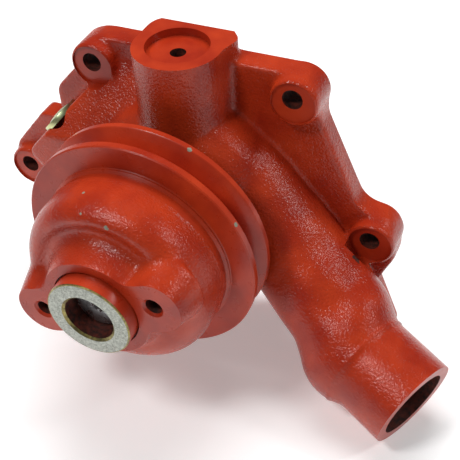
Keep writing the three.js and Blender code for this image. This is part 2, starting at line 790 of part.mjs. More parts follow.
function bearing(name, back) {
  const group = new THREE.Group();
  group.position.copy(axisOut).multiplyScalar(back + BEARING_WIDTH / 2);
  group.add(mesh(`${name}_outer_race`, outerRace(), bearingSteel));
  group.add(mesh(`${name}_inner_race`, innerRace(), bearingSteel));
  group.add(mesh(`${name}_cage`, cage(), cageSteel));
  for (let i = 0; i < BALL_COUNT; i++) {
    const piece = mesh(`${name}_ball_${i + 1}`, new THREE.SphereGeometry(BALL_RADIUS, 8, 6), groundSteel);
    piece.position.set(...ballPlace(i));
    group.add(piece);
  }
  return group;
}

function bearingSpacer() {
  const back = rearBearingFront + FIT;
  return ringGeometry(SHAFT_RADIUS + FIT, INNER_RACE_RADIUS - 0.4, back, back + BEARING_SPACING, 28);
}

// Internal circlip, open at the bottom, with its two eyes.
function housingCirclip() {
  const outer = housingBore + CIRCLIP_BITE - FIT;
  const inner = outer - CIRCLIP_RING_WIDTH;
  const band = ring(inner, outer, circlipBack, circlipFront);
  const eyes = [-1, 1].map((side) => {
    const angle = THREE.MathUtils.degToRad(-90 + side * 13);
    const x = (inner - 0.4) * Math.cos(angle);
    const z = (inner - 0.4) * Math.sin(angle);
    return [
      bar([x, -circlipBack, z], [x, -circlipFront, z], 3, 3, 16),
      bar([x, -circlipBack + 1, z], [x, -circlipFront - 1, z], 1.25, 1.25, 10),
    ];
  });
  const gap = box([-3.4, 3.4], [-circlipFront - 1, -circlipBack + 1], [-outer - 2, -inner + 6]);
  const whole = band.add(eyes[0][0]).add(eyes[1][0]).subtract(gap);
  return geometryOf(whole.subtract(eyes[0][1]).subtract(eyes[1][1]));
}

// ---------------------------------------------------------------- seals
// Radial lip seal: rubber body with a lip that stops just clear of the shaft.
function lipSeal() {
  const lip = SHAFT_RADIUS + FIT;
  return turned([
    [LIP_SEAL_RADIUS, lipSealBack],
    [LIP_SEAL_RADIUS, lipSealFront],
    [lip + 3, lipSealFront],
    [lip, lipSealFront - 2],
    [lip + 1.6, lipSealFront - 3.2],
    [LIP_SEAL_RADIUS - 2, lipSealFront - 2],
    [LIP_SEAL_RADIUS - 2, lipSealBack],
  ], 28);
}

function slinger() {
  const back = seatRoomFront + 0.5 + RUNNING_GAP / 2;
  return turned([
    [SHAFT_SEAL_RADIUS + FIT, back],
    [SHAFT_SEAL_RADIUS + 3, back],
    [SLINGER_RADIUS, back + 0.4],
    [SLINGER_RADIUS, back + 0.4 + SLINGER_THICKNESS],
    [SHAFT_SEAL_RADIUS + FIT, back + SLINGER_THICKNESS + 0.4],
  ], 28);
}

function seatBoot() {
  const front = seatRoomFront - FIT;
  const inner = SEAT_RADIUS + FIT;
  return turned([
    [inner, SUCTION_FRONT - 0.5],
    [SEAT_RADIUS + SEAT_BOOT_WALL, SUCTION_FRONT - 0.5],
    [SEAT_RADIUS + SEAT_BOOT_WALL, front],
    [SHAFT_SEAL_RADIUS + 2, front],
    [SHAFT_SEAL_RADIUS + 2, front - 1.2],
    [inner, front - 1.2],
  ], 28);
}

const seatFace = SUCTION_FRONT - 1;
const faceRingBack = seatFace - FIT - FACE_RING_THICKNESS;
const retainerBack = impellerHubFront + FIT;

function sealSeat() {
  const front = seatRoomFront - 2 * FIT - 1.2;
  return ringGeometry(SHAFT_SEAL_RADIUS + 1.2, SEAT_RADIUS, seatFace, front, 32);
}

function faceRing() {
  return turned([
    [SHAFT_SEAL_RADIUS + 1, faceRingBack],
    [FACE_RING_RADIUS, faceRingBack],
    [FACE_RING_RADIUS, seatFace - FIT - 1.2],
    [FACE_RING_RADIUS - 1.6, seatFace - FIT],
    [SHAFT_SEAL_RADIUS + 1, seatFace - FIT],
  ], 28);
}

function bellows() {
  const inner = SHAFT_SEAL_RADIUS + FIT;
  const front = faceRingBack - FIT;
  const back = retainerBack + RETAINER_SHEET + FIT;
  const fold = (front - back) / 5;
  return turned([
    [inner, back],
    [inner + BELLOWS_WALL, back],
    [inner + BELLOWS_WALL, back + fold],
    [inner + BELLOWS_WALL + 1.2, back + 1.5 * fold],
    [inner + BELLOWS_WALL, back + 2 * fold],
    [inner + BELLOWS_WALL, back + 3 * fold],
    [inner + BELLOWS_WALL + 1.2, front - 2.2],
    [inner + BELLOWS_WALL + 1.2, front],
    [inner, front],
  ], 28);
}

// Coil spring round the bellows, between the two sheet retainers.
class Coil extends THREE.Curve {
  constructor(radius, from, to, turns) {
    super();
    Object.assign(this, { radius, from, to, turns });
  }
  getPoint(t, target = new THREE.Vector3()) {
    const angle = 2 * Math.PI * this.turns * t;
    const y = -(this.from + (this.to - this.from) * t);
    return target.set(this.radius * Math.cos(angle), y, this.radius * Math.sin(angle));
  }
}

function sealSpring() {
  const from = retainerBack + RETAINER_SHEET + SPRING_WIRE_RADIUS + FIT;
  const to = faceRingBack - RETAINER_SHEET - SPRING_WIRE_RADIUS - 2 * FIT;
  const wire = new THREE.Shape().absarc(0, 0, SPRING_WIRE_RADIUS, 0, 2 * Math.PI);
  return new THREE.ExtrudeGeometry(wire, {
    steps: SPRING_TURNS * 14,
    curveSegments: 3,
    extrudePath: new Coil(SPRING_RADIUS, from, to, SPRING_TURNS),
  });
}

function rearRetainer() {
  const rim = SPRING_RADIUS + SPRING_WIRE_RADIUS + FIT;
  return turned([
    [SHAFT_SEAL_RADIUS + FIT, retainerBack],
    [rim + RETAINER_SHEET, retainerBack],
    [rim + RETAINER_SHEET, retainerBack + RETAINER_SHEET + 2.4],
    [rim, retainerBack + RETAINER_SHEET + 2.4],
    [rim, retainerBack + RETAINER_SHEET],
    [SHAFT_SEAL_RADIUS + FIT, retainerBack + RETAINER_SHEET],
  ], 28);
}

function frontRetainer() {
  const rim = SPRING_RADIUS + SPRING_WIRE_RADIUS + FIT;
  const front = faceRingBack - FIT;
  const hole = SHAFT_SEAL_RADIUS + BELLOWS_WALL + 1.2 + 2 * FIT;
  return turned([
    [hole, front - RETAINER_SHEET],
    [rim, front - RETAINER_SHEET],
    [rim, front - RETAINER_SHEET - 2],
    [rim + RETAINER_SHEET, front - RETAINER_SHEET - 2],
    [rim + RETAINER_SHEET, front],
    [hole, front],
  ], 28);
}

// ---------------------------------------------------------------- impeller
// Backward-curved vanes on a rear shroud; the eye faces the pulley.
function impeller() {
  const shroudFront = impellerBack + IMPELLER_SHROUD;
  const disc = ring(0, IMPELLER_RADIUS, impellerBack, shroudFront);
  const hub = ring(0, IMPELLER_HUB_RADIUS, impellerBack, impellerHubFront, 24);
  const outerArc = VANE_CURVE_RADIUS + VANE_THICKNESS / 2;
  const innerArc = VANE_CURVE_RADIUS - VANE_THICKNESS / 2;
  const blade = new THREE.Shape();
  blade.absarc(0, 0, outerArc, 0, Math.PI / 2.6, false);
  blade.absarc(0, 0, innerArc, Math.PI / 2.6, 0, true);
  const rim = ring(0, IMPELLER_RADIUS, impellerBack, impellerFront);
  const vanes = Array.from({ length: VANE_COUNT }, (_, i) => {
    const geometry = plate(blade, impellerBack, impellerFront, 8);
    geometry.translate(IMPELLER_HUB_RADIUS - VANE_CURVE_RADIUS - 1, 0, 0);
    geometry.rotateY((2 * Math.PI * i) / VANE_COUNT);
    return solid(geometry);
  });
  const bladed = union([disc, hub, union(vanes).intersect(rim)]);
  return geometryOf(bladed.subtract(ring(0, SHAFT_SEAL_RADIUS + FIT, -1, impellerHubFront + 1, 24)));
}

// ---------------------------------------------------------------- assembly
const pump = new THREE.Group();
pump.name = "coolant_pump";

const still = new THREE.Group();
still.add(mesh("pump_body", pumpBody(), paint));

const plug = mesh("core_plug", corePlug(), yellowZinc);
plug.quaternion.setFromUnitVectors(
  new THREE.Vector3(0, 1, 0),
  new THREE.Vector3(plugFacing.x, 0, plugFacing.y),
);
plug.position.set(
  plugMiddle.x - plugFacing.x * PLUG_SINK,
  -PLUG_SETBACK,
  plugMiddle.y - plugFacing.y * PLUG_SINK,
);
still.add(plug);
still.add(mesh("housing_circlip", housingCirclip(), springSteel));
still.add(mesh("lip_seal", lipSeal(), blackRubber));
still.add(mesh("seal_seat_boot", seatBoot(), blackRubber));
still.add(mesh("seal_seat", sealSeat(), ceramic));
pump.add(still);

const rotor = new THREE.Group();
const turnedPulley = mesh("pulley", pulley(), paint);
turnedPulley.rotation.y = -THREE.MathUtils.degToRad(LUG_ANGLE);
rotor.add(turnedPulley);
rotor.add(mesh("pulley_hub", pulleyHub(), machinedSteel));
rotor.add(mesh("shaft", shaft(), groundSteel));
rotor.add(mesh("bearing_spacer", bearingSpacer(), machinedSteel));
rotor.add(mesh("slinger", slinger(), brass));
rotor.add(mesh("seal_face_ring", faceRing(), carbon));
rotor.add(mesh("seal_bellows", bellows(), blackRubber));
rotor.add(mesh("seal_spring", sealSpring(), springSteel));
rotor.add(mesh("seal_front_retainer", frontRetainer(), brass));
rotor.add(mesh("seal_rear_retainer", rearRetainer(), brass));
rotor.add(mesh("impeller", impeller(), castIron));
pump.add(rotor);

pump.add(bearing("rear_bearing", rearBearingBack));
pump.add(bearing("front_bearing", frontBearingBack));

export default pump;
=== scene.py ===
"""Looks for a belt-driven engine coolant pump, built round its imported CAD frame.

Each operator makes one piece, or a group of like pieces. Sizes in the code are millimetres and
are turned to metres in one place.
"""

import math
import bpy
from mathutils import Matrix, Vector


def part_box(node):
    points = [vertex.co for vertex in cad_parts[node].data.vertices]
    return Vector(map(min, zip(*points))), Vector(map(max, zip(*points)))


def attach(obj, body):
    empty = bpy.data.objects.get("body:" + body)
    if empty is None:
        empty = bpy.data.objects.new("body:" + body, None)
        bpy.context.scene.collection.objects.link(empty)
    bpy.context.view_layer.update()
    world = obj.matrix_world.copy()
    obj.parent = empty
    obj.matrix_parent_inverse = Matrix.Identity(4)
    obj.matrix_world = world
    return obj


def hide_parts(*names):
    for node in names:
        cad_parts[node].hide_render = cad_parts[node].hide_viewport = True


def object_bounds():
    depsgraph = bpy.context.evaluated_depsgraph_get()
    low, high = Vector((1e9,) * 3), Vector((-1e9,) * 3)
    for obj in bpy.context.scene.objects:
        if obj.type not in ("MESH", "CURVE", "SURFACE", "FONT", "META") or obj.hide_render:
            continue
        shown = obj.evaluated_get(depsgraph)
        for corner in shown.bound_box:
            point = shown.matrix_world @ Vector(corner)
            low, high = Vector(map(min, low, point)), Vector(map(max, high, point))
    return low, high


bl_info = {
    "name": "Coolant Pump",
    "version": (1, 0, 0),
    "blender": (4, 5, 0),
    "location": "3D View > Sidebar > Pump",
    "description": "Builds a painted coolant pump with its pulley, hub, bearings and seals",
    "category": "Add Mesh",
}

import bmesh
import bpy
from bpy.props import FloatProperty, IntProperty, PointerProperty, StringProperty
from mathutils import Matrix, Vector

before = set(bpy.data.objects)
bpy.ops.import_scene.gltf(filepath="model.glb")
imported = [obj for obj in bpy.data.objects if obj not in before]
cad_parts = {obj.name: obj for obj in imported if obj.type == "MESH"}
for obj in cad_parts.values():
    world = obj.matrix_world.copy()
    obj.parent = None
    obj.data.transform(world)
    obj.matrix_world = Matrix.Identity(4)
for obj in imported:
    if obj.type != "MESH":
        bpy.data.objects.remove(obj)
CAD_BOX = [list(corner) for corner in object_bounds()]
MM = 0.001


def reach(node, axis, side):
    """How far a CAD node reaches along one axis, in millimetres."""
    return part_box(node)[side][axis] / MM


# Places along the shaft, in front of the mounting face, taken from the frame.
PULLEY_BACK = -reach("pulley", 1, 1)
LUG_FACE = -reach("pulley", 1, 0)
PULLEY_RADIUS = reach("pulley", 0, 1)
HUB_FACE = -reach("pulley_hub", 1, 0)
HUB_BACK = -reach("pulley_hub", 1, 1)
HUB_RADIUS = reach("pulley_hub", 0, 1)
SHAFT_FRONT = -reach("shaft", 1, 0)
TOP_FACE = reach("pump_body", 2, 1)
NOSE_FRONT = -reach("pump_body", 1, 0)

# Places on the body, in millimetres: x to the hose neck, y out of the mounting face, z up.
BOLTS = {
    "top_right": (59.0, 64.5),
    "right": (100.6, -13.0),
    "top_left": (-51.2, 62.4),
    "left": (-107.0, -18.6),
}
BOSS_SHIFT = (0.6, -1.6)
BOSS_FACE = 17.2
FLANGE = [
    (71.6, 75.5, 12.6), (71.6, 50.5, 7), (92.6, 0.6, 12), (113.2, -1.4, 12), (113.2, -26.5, 9),
    (103.2, -49, 4), (118, -88, 7), (52.6, -88, 18), (18.6, -62, 26), (-55, -62, 30),
    (-117.6, -34.2, 12.6), (-118.6, -10.6, 10), (-95, 17.4, 5), (-81, 16.4, 3),
    (-81, 37.4, 8), (-63.8, 55.5, 8), (-63.8, 75.5, 19),
]
CHAMBER = [(-37, 68, 5), (-87, 12, 5), (-58, -24, 12), (0, -38, 0), (0, 63, 0)]
CHAMBER_DEPTH = 40
TOP_BOSS = (1.8, -20.5)
PASSAGE = [
    (28, -14, 12), (36, -17, 4), (44, -20, -5), (57, -24.6, -16.8), (70, -30, -28),
    (83, -37, -37), (95.5, -43.6, -44.3), (106, -54.3, -57.6),
]
NECK_ROOT = Vector((106.9, -52.8, -56.6))
NECK_DIRECTION = Vector((0.888, -0.404, -0.22)).normalized()
NECK_LENGTH = 40
# Shallow hollows in the suction passage: centre, radius and depth.
HOLLOWS = [((97, -57, -22), 11, 4.0), ((104, -41, -13), 10, 3.5), ((86, -40, -4), 9, 2.0)]
# The parting seam that rings the neck: distance from its root, height and half width.
SEAM = (7.6, 0.6, 0.9)
# The chamber's front leans back by this angle above this height.
CHAMBER_LEAN = math.radians(36)
LEAN_FOOT = 26
LUG_ANGLE = math.radians(21.5)
LUG_REACH = 33.7


# ---------------------------------------------------------------- settings
class BodySettings(bpy.types.PropertyGroup):
    voxel: FloatProperty(
        name="Casting grain", description="Size of the facets of the cast surfaces",
        default=0.0012, min=0.0006, max=0.004, subtype="DISTANCE", unit="LENGTH")
    fillet: IntProperty(
        name="Fillet passes", description="How far the corners of the casting are rounded",
        default=14, min=0, max=60)
    passage_radius: FloatProperty(
        name="Passage radius", description="Outside radius of the suction passage",
        default=0.0268, subtype="DISTANCE", unit="LENGTH")
    neck_radius: FloatProperty(
        name="Neck radius", description="Outside radius of the hose neck",
        default=0.0254, subtype="DISTANCE", unit="LENGTH")
    neck_bore: FloatProperty(
        name="Neck bore", description="Inside radius of the hose neck",
        default=0.0194, subtype="DISTANCE", unit="LENGTH")


class PulleySettings(bpy.types.PropertyGroup):
    voxel: FloatProperty(
        name="Casting grain", description="Size of the facets of the cast surfaces",
        default=0.0010, min=0.0006, max=0.004, subtype="DISTANCE", unit="LENGTH")
    fillet: IntProperty(
        name="Fillet passes", description="How far the corners of the casting are rounded",
        default=40, min=0, max=90)
    groove_width: FloatProperty(
        name="Groove width", description="Width of the V-groove at the rim",
        default=0.0119, subtype="DISTANCE", unit="LENGTH")
    groove_depth: FloatProperty(
        name="Groove depth", description="Depth of the V-groove",
        default=0.012, subtype="DISTANCE", unit="LENGTH")
    scoop: FloatProperty(
        name="Scoop depth", description="Depth of the hollow above the fan lugs",
        default=0.0055, subtype="DISTANCE", unit="LENGTH")


class PaintSettings(bpy.types.PropertyGroup):
    enamel: StringProperty(
        name="Enamel", description="sRGB hex colour of the enamel", default="#BA3A1A")
    enamel_deep: StringProperty(
        name="Deep enamel", description="sRGB hex colour where the enamel lies thick",
        default="#9A2612")
    gloss: FloatProperty(
        name="Roughness", description="Roughness of the enamel", default=0.22, min=0.0, max=1.0,
        subtype="FACTOR")
    peel: FloatProperty(
        name="Orange peel", description="Height of the sand grain showing through the enamel",
        default=0.0004, subtype="DISTANCE", unit="LENGTH")


# ---------------------------------------------------------------- mesh tools
def placed(start, end):
    """A matrix that stands a cylinder of create_cone between two points."""
    a, b = Vector(start) * MM, Vector(end) * MM
    turn = (b - a).to_track_quat("Z", "Y").to_matrix().to_4x4()
    return Matrix.Translation((a + b) / 2) @ turn


def cylinder(bm, start, end, radius, end_radius=None, segments=64):
    length = (Vector(end) - Vector(start)).length * MM
    bmesh.ops.create_cone(
        bm, cap_ends=True, segments=segments, radius1=radius * MM,
        radius2=(radius if end_radius is None else end_radius) * MM, depth=length,
        matrix=placed(start, end))


def sphere(bm, centre, radius, detail=4):
    bmesh.ops.create_icosphere(
        bm, subdivisions=detail, radius=radius * MM, matrix=Matrix.Translation(Vector(centre) * MM))


def block(bm, low, high):
    low, high = Vector(low) * MM, Vector(high) * MM
    size = Matrix.Diagonal((*(high - low), 1))
    bmesh.ops.create_cube(bm, size=1, matrix=Matrix.Translation((low + high) / 2) @ size)


def prism(bm, corners, back, front):
    """An outline of x, z, radius corners, extruded from back to front and rounded."""
    flat = [Vector((x, z)) for x, z, _ in corners]
    verts = [bm.verts.new(Vector((x, -back, z)) * MM) for x, z, _ in corners]
    face = bm.faces.new(verts)
    made = bmesh.ops.extrude_face_region(bm, geom=[face])["geom"]
    moved = [v for v in made if isinstance(v, bmesh.types.BMVert)]
    bmesh.ops.translate(bm, verts=moved, vec=(0, -(front - back) * MM, 0))
    for i, (vert, (_, _, radius)) in enumerate(zip(verts, corners)):
        if radius:
            before, after = flat[i - 1] - flat[i], flat[(i + 1) % len(flat)] - flat[i]
            upright = [e for e in vert.link_edges
                       if abs(e.other_vert(vert).co.y - vert.co.y) > 1e-5]
            bmesh.ops.bevel(
                bm, geom=upright, offset=radius * MM / math.tan(before.angle(after) / 2),
                offset_type="OFFSET", segments=6, profile=0.5, affect="EDGES", material=-1)
    bmesh.ops.recalc_face_normals(bm, faces=bm.faces)


def added(bm, turn, maker, *sizes, **settings):
    """Builds a shape on its own, turns it and adds it to the others."""
    part = bmesh.new()
    maker(part, *sizes, **settings)
    bmesh.ops.transform(part, matrix=turn, verts=part.verts)
    mesh = bpy.data.meshes.new("part")
    part.to_mesh(mesh)
    part.free()
    bm.from_mesh(mesh)
    bpy.data.meshes.remove(mesh)


def turned(bm, profile, segments=96, closed=True):
    """Spins radius, distance-in-front points about the shaft axis."""
    verts = [bm.verts.new((r * MM, -front * MM, 0)) for r, front in profile]
    edges = [bm.edges.new(pair) for pair in zip(verts, verts[1:])]
    if closed and profile[0][0] > 0:
        edges.append(bm.edges.new((verts[-1], verts[0])))
    bmesh.ops.spin(
        bm, geom=verts + edges, cent=(0, 0, 0), axis=(0, 1, 0), angle=math.tau, steps=segments,
        use_merge=True, use_duplicate=False)
    bmesh.ops.remove_doubles(bm, verts=bm.verts, dist=1e-6)
    bmesh.ops.recalc_face_normals(bm, faces=bm.faces)


def arc(centre, radius, start, end, steps):
    """Points of an arc in the turning plane; angles in degrees from the radial direction."""
    angles = [math.radians(start + (end - start) * i / steps) for i in range(steps + 1)]
    return [(centre[0] + radius * math.cos(a), centre[1] + radius * math.sin(a)) for a in angles]


def to_object(bm, name, look=None):
    mesh = bpy.data.meshes.new(name)
    bm.to_mesh(mesh)
    bm.free()
    if look:
        mesh.materials.append(looks()[look])
    made = bpy.data.objects.new(name, mesh)
    bpy.context.scene.collection.objects.link(made)
    return made


def settle(made):
    """Applies the object's modifiers to its mesh."""
    depsgraph = bpy.context.evaluated_depsgraph_get()
    mesh = bpy.data.meshes.new_from_object(made.evaluated_get(depsgraph))
    made.modifiers.clear()
    old, made.data = made.data, mesh
    bpy.data.meshes.remove(old)


def cast(made, voxel, passes, soft=None):
    """Joins overlapping solids into one skin and rounds its corners, as a sand mould does.

    Soft gives each place its share of the rounding, from 0 to 1.
    """
    look = made.data.materials[0]
    skin = made.modifiers.new("skin", "REMESH")
    skin.mode = "VOXEL"
    skin.voxel_size = voxel
    settle(made)
    if soft:
        group = made.vertex_groups.new(name="soft")
        for vert in made.data.vertices:
            group.add([vert.index], soft(vert.co / MM), "REPLACE")
    soften = made.modifiers.new("soften", "SMOOTH")
    soften.factor = 0.5
    soften.iterations = passes
    soften.vertex_group = "soft" if soft else ""
    settle(made)
    made.vertex_groups.clear()
    made.data.materials.clear()
    made.data.materials.append(look)


def tool(look, maker, *sizes, **settings):
    """A cutter, and the finish that it leaves on the faces it cuts."""
    return look, lambda bm: maker(bm, *sizes, **settings)


def carve(made, tools):
    """Cuts each tool out of the piece; the cut faces take the tool's finish."""
    for number, (look, maker) in enumerate(tools):
        bm = bmesh.new()
        maker(bm)
        cutter = to_object(bm, f"cutter_{number}", look)
        cut = made.modifiers.new("cut", "BOOLEAN")
        cut.operation = "DIFFERENCE"
        cut.solver = "MANIFOLD"
        cut.material_mode = "TRANSFER"
        cut.object = cutter
        settle(made)
        if not made.data.vertices:
            raise RuntimeError(f"{made.name}: cutter {number} left nothing")
        bpy.data.objects.remove(cutter)


def hollowed(made, places):
    """Presses soft hollows into a casting: centre, radius and depth of each, in millimetres."""
    moves = []
    for vert in made.data.vertices:
        push = sum(depth * math.exp(-((vert.co / MM - Vector(centre)).length / radius) ** 2)
                   for centre, radius, depth in places)
        if push > 0.02:
            moves.append((vert, vert.normal * push * MM))
    for vert, move in moves:
        vert.co -= move


def seamed(made, distance, height, width):
    """Raises the fine parting seam that rings the neck at a distance from its root."""
    for vert in made.data.vertices:
        place = vert.co / MM - NECK_ROOT
        along = place.dot(NECK_DIRECTION)
        away = place - NECK_DIRECTION * along
        if abs(along - distance) < 3 * width and away.length < 32:
            vert.co += away.normalized() * MM * height * math.exp(
                -((along - distance) / width) ** 2)


def finish(made, body, stands_for, crease=32):
    """Shades a piece smooth between its edges, and lets it ride on its body."""
    made.data.shade_smooth()
    made.data.set_sharp_from_angle(angle=math.radians(crease))
    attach(made, body)
    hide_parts(stands_for)


def paint_faces(made, rules):
    """Gives the faces that meet a rule its finish; the last rule met holds."""
    mesh = made.data
    for look, rule in rules:
        mesh.materials.append(looks()[look])
        number = len(mesh.materials) - 1
        for face in mesh.polygons:
            if rule(face.center / MM):
                face.material_index = number


# ---------------------------------------------------------------- material tools
def linear(hex_colour):
    values = [int(hex_colour[i:i + 2], 16) / 255 for i in (1, 3, 5)]
    return [v / 12.92 if v <= 0.04045 else ((v + 0.055) / 1.055) ** 2.4 for v in values] + [1.0]


def add(tree, kind, inputs=None, **settings):
    """Adds a node, with its settings, and its inputs as values or as links."""
    made = tree.nodes.new(kind)
    for key, value in settings.items():
        setattr(made, key, value)
    for key, value in (inputs or {}).items():
        if isinstance(value, bpy.types.NodeSocket):
            tree.links.new(value, made.inputs[key])
        else:
            made.inputs[key].default_value = value
    return made


def new_material(name):
    made = bpy.data.materials.new(name)
    made.use_nodes = True
    tree = made.node_tree
    tree.nodes.clear()
    shader = add(tree, "ShaderNodeBsdfPrincipled")
    add(tree, "ShaderNodeOutputMaterial", {"Surface": shader.outputs[0]})
    place = add(tree, "ShaderNodeTexCoord").outputs["Object"]
    return made, tree, shader, place


def noise(tree, place, size_mm, detail=2.0, rough=0.5, distort=0.0):
    """Noise whose features are about size_mm across."""
    return add(tree, "ShaderNodeTexNoise", {
        "Vector": place, "Scale": 1 / (size_mm * MM), "Detail": detail, "Roughness": rough,
        "Distortion": distort}).outputs["Fac"]


def spread(tree, value, low, high, to_low=0.0, to_high=1.0):
    return add(tree, "ShaderNodeMapRange", {
        "Value": value, "From Min": low, "From Max": high, "To Min": to_low,
        "To Max": to_high}).outputs[0]


def math_node(tree, operation, a, b=0.0):
    made = add(tree, "ShaderNodeMath", {0: a, 1: b}, operation=operation)
    return made.outputs[0]


def mixed(tree, factor, first, second):
    made = add(tree, "ShaderNodeMix", {"Factor": factor}, data_type="RGBA")
    for key, value in ((6, first), (7, second)):
        if isinstance(value, bpy.types.NodeSocket):
            tree.links.new(value, made.inputs[key])
        else:
            made.inputs[key].default_value = value
    return made.outputs[2]


def bumped(tree, shader, height, distance, strength=1.0):
    bump = add(tree, "ShaderNodeBump", {
        "Height": height, "Distance": distance, "Strength": strength})
    tree.links.new(bump.outputs[0], shader.inputs["Normal"])


def near(tree, place, centre, radius):
    """1 at a point, falling to 0 at a radius from it, in millimetres."""
    gap = add(tree, "ShaderNodeVectorMath", {0: place, 1: Vector(centre) * MM},
              operation="DISTANCE").outputs["Value"]
    return spread(tree, gap, 0.0, radius * MM, 1.0, 0.0)


def enamel(name, grain, gloss_shift=0.0, chips=()):
    """Brushing enamel over iron. Grain is the share of the sand texture that shows through it."""
    settings = bpy.context.scene.pump_paint
    made, tree, shader, place = new_material(name)
    cloud = noise(tree, place, 24, 3.0, 0.55)
    colour = mixed(tree, spread(tree, cloud, 0.35, 0.68), linear(settings.enamel),
                   linear(settings.enamel_deep))
    speck = noise(tree, place, 1.1, 2.0, 0.6)
    colour = mixed(tree, spread(tree, speck, 0.68, 0.8, 0.0, 0.35), colour, linear("#7E1E10"))
    roughness = spread(tree, noise(tree, place, 7, 3.0), 0.3, 0.7,
                       settings.gloss - 0.02 + gloss_shift, settings.gloss + 0.04 + gloss_shift)
    bare = None
    for centre, radius in chips:
        spot = near(tree, place, centre, radius)
        bare = spot if bare is None else math_node(tree, "MAXIMUM", bare, spot)
    if bare is not None:
        ragged = math_node(tree, "MULTIPLY", bare, noise(tree, place, 1.3, 3.0, 0.7))
        edge = spread(tree, ragged, 0.19, 0.24)
        colour = mixed(tree, edge, colour, linear("#8A8C7C"))
        roughness = math_node(tree, "MAXIMUM", roughness, math_node(tree, "MULTIPLY", edge, 0.6))
    tree.links.new(colour, shader.inputs["Base Color"])
    tree.links.new(roughness, shader.inputs["Roughness"])
    shader.inputs["Specular IOR Level"].default_value = 0.4
    sand = noise(tree, place, 1.3, 2.0, 0.6, 0.2)
    swell = noise(tree, place, 5.0, 2.0)
    height = math_node(tree, "ADD", math_node(tree, "MULTIPLY", sand, grain),
                       math_node(tree, "MULTIPLY", swell, 0.25 * grain + 0.08))
    bumped(tree, shader, height, settings.peel)
    return made


def bare_metal(name, light, dark, roughness, size_mm, metallic=1.0, depth=0.00004):
    """Metal without paint: two tones in grains of size_mm, and a matching fine relief."""
    made, tree, shader, place = new_material(name)
    grain = noise(tree, place, size_mm, 3.0, 0.6)
    tree.links.new(mixed(tree, spread(tree, grain, 0.35, 0.65), linear(light), linear(dark)),
                   shader.inputs["Base Color"])
    tree.links.new(spread(tree, noise(tree, place, size_mm * 3), 0.3, 0.7, roughness - 0.06,
                          roughness + 0.1), shader.inputs["Roughness"])
    shader.inputs["Metallic"].default_value = metallic
    bumped(tree, shader, grain, depth)
    return made


def dull_solid(name, light, dark, roughness, size_mm, depth=0.00005):
    """A non-metal with a faint mottle: rubber, carbon or ceramic."""
    return bare_metal(name, light, dark, roughness, size_mm, 0.0, depth)


def looks():
    """Every finish on the pump, made once and shared."""
    if "looks" in _made:
        return _made["looks"]
    # Centres, in millimetres on the bell, and radii of the knocks that reach the iron.
    bell_chips = [((5, -108, 42), 2.4), ((10, -109, 39.5), 1.9), ((-13, -95, 47.5), 1.3),
                  ((-9, -105, 44), 1.2), ((41, -108, 24), 1.2), ((42, -108, -1.5), 1.2)]
    rim_chips = [((25, -60, 57), 2.0), ((53.5, -75, 32), 2.0)]
    made = {
        # Enamel over as-cast iron: glossy, with the sand showing as orange peel.
        "cast_enamel": enamel("enamel_over_sand_cast_iron", 1.0),
        # Enamel over milled faces: the same paint lying nearly flat.
        "milled_enamel": enamel("enamel_over_milled_iron", 0.12, 0.08),
        "bell_enamel": enamel("enamel_over_cast_bell", 1.0, 0.0, bell_chips),
        "turned_enamel": enamel("enamel_over_turned_iron", 0.1, 0.06, rim_chips),
        # Thin overspray on the water side, browned by damp, dark and uneven; painted shade in the
        # dry holes.
        "rust_and_painted_shade_iron": bare_metal("rust_and_painted_shade_cast_iron", "#6B2A1C", "#2B1712", 0.62, 2.4, 0.15,
                               0.0004),
        # Milled iron joint face: dull grey with a brown cast.
        "milled_iron": bare_metal("bored_grey_iron", "#8C8884", "#716D68", 0.36, 1.2, 1.0),
        "joint_iron": bare_metal("milled_grey_iron", "#8A8680", "#6C6862", 0.42, 1.2, 1.0),
        # Turned and tarnished steel: pale grey with a fine mottle that scatters light.
        "hub_edge": bare_metal("varnished_steel_edge", "#A99A5C", "#6E6546", 0.35, 1.4, 0.8),
        "hub_steel": bare_metal("turned_tarnished_steel", "#BFC2B8", "#8E9189", 0.5, 0.9, 0.75,
                                0.00008),
        "ground_steel": bare_metal("ground_steel", "#B4B5B6", "#9A9B9D", 0.26, 2.0),
        "bearing_steel": bare_metal("polished_bearing_steel", "#C9CACC", "#B9BABD", 0.12, 3.0),
        "cage_steel": bare_metal("pressed_cage_steel", "#A8A598", "#8F8C80", 0.34, 1.5),
        "spring_steel": bare_metal("oiled_spring_steel", "#5E6166", "#45484C", 0.32, 1.2),
        "zinc": bare_metal("yellow_zinc_plate", "#D8D39A", "#B9C79C", 0.3, 5.0),
        "brass": bare_metal("pressed_brass", "#B99A4E", "#9C7F3C", 0.3, 2.0),
        "rubber": dull_solid("moulded_nitrile_rubber", "#1D1D1E", "#121213", 0.62, 1.0),
        "carbon": dull_solid("carbon_graphite", "#2C2D30", "#1F2022", 0.48, 0.6),
        "ceramic": dull_solid("lapped_ceramic", "#E8E2D4", "#DCD5C4", 0.2, 4.0, 0.00001),
        "bare_iron": bare_metal("bare_sand_cast_iron", "#6A5A50", "#45352C", 0.6, 1.8, 0.7,
                                0.00025),
    }
    _made["looks"] = made
    return made


_made = {}


# ---------------------------------------------------------------- pump body
def neck_point(distance):
    return NECK_ROOT + NECK_DIRECTION * distance


def leaning_block(bm):
    """The discharge chamber, whose front leans back above its middle."""
    prism(bm, CHAMBER, -3, CHAMBER_DEPTH)
    cut = bmesh.ops.bisect_plane(
        bm, geom=bm.verts[:] + bm.edges[:] + bm.faces[:], dist=1e-6,
        plane_co=Vector((0, -CHAMBER_DEPTH, LEAN_FOOT)) * MM,
        plane_no=(0, -math.cos(CHAMBER_LEAN), math.sin(CHAMBER_LEAN)),
        clear_outer=True)["geom_cut"]
    bmesh.ops.edgeloop_fill(bm, edges=[e for e in cut if isinstance(e, bmesh.types.BMEdge)])
    bmesh.ops.recalc_face_normals(bm, faces=bm.faces)


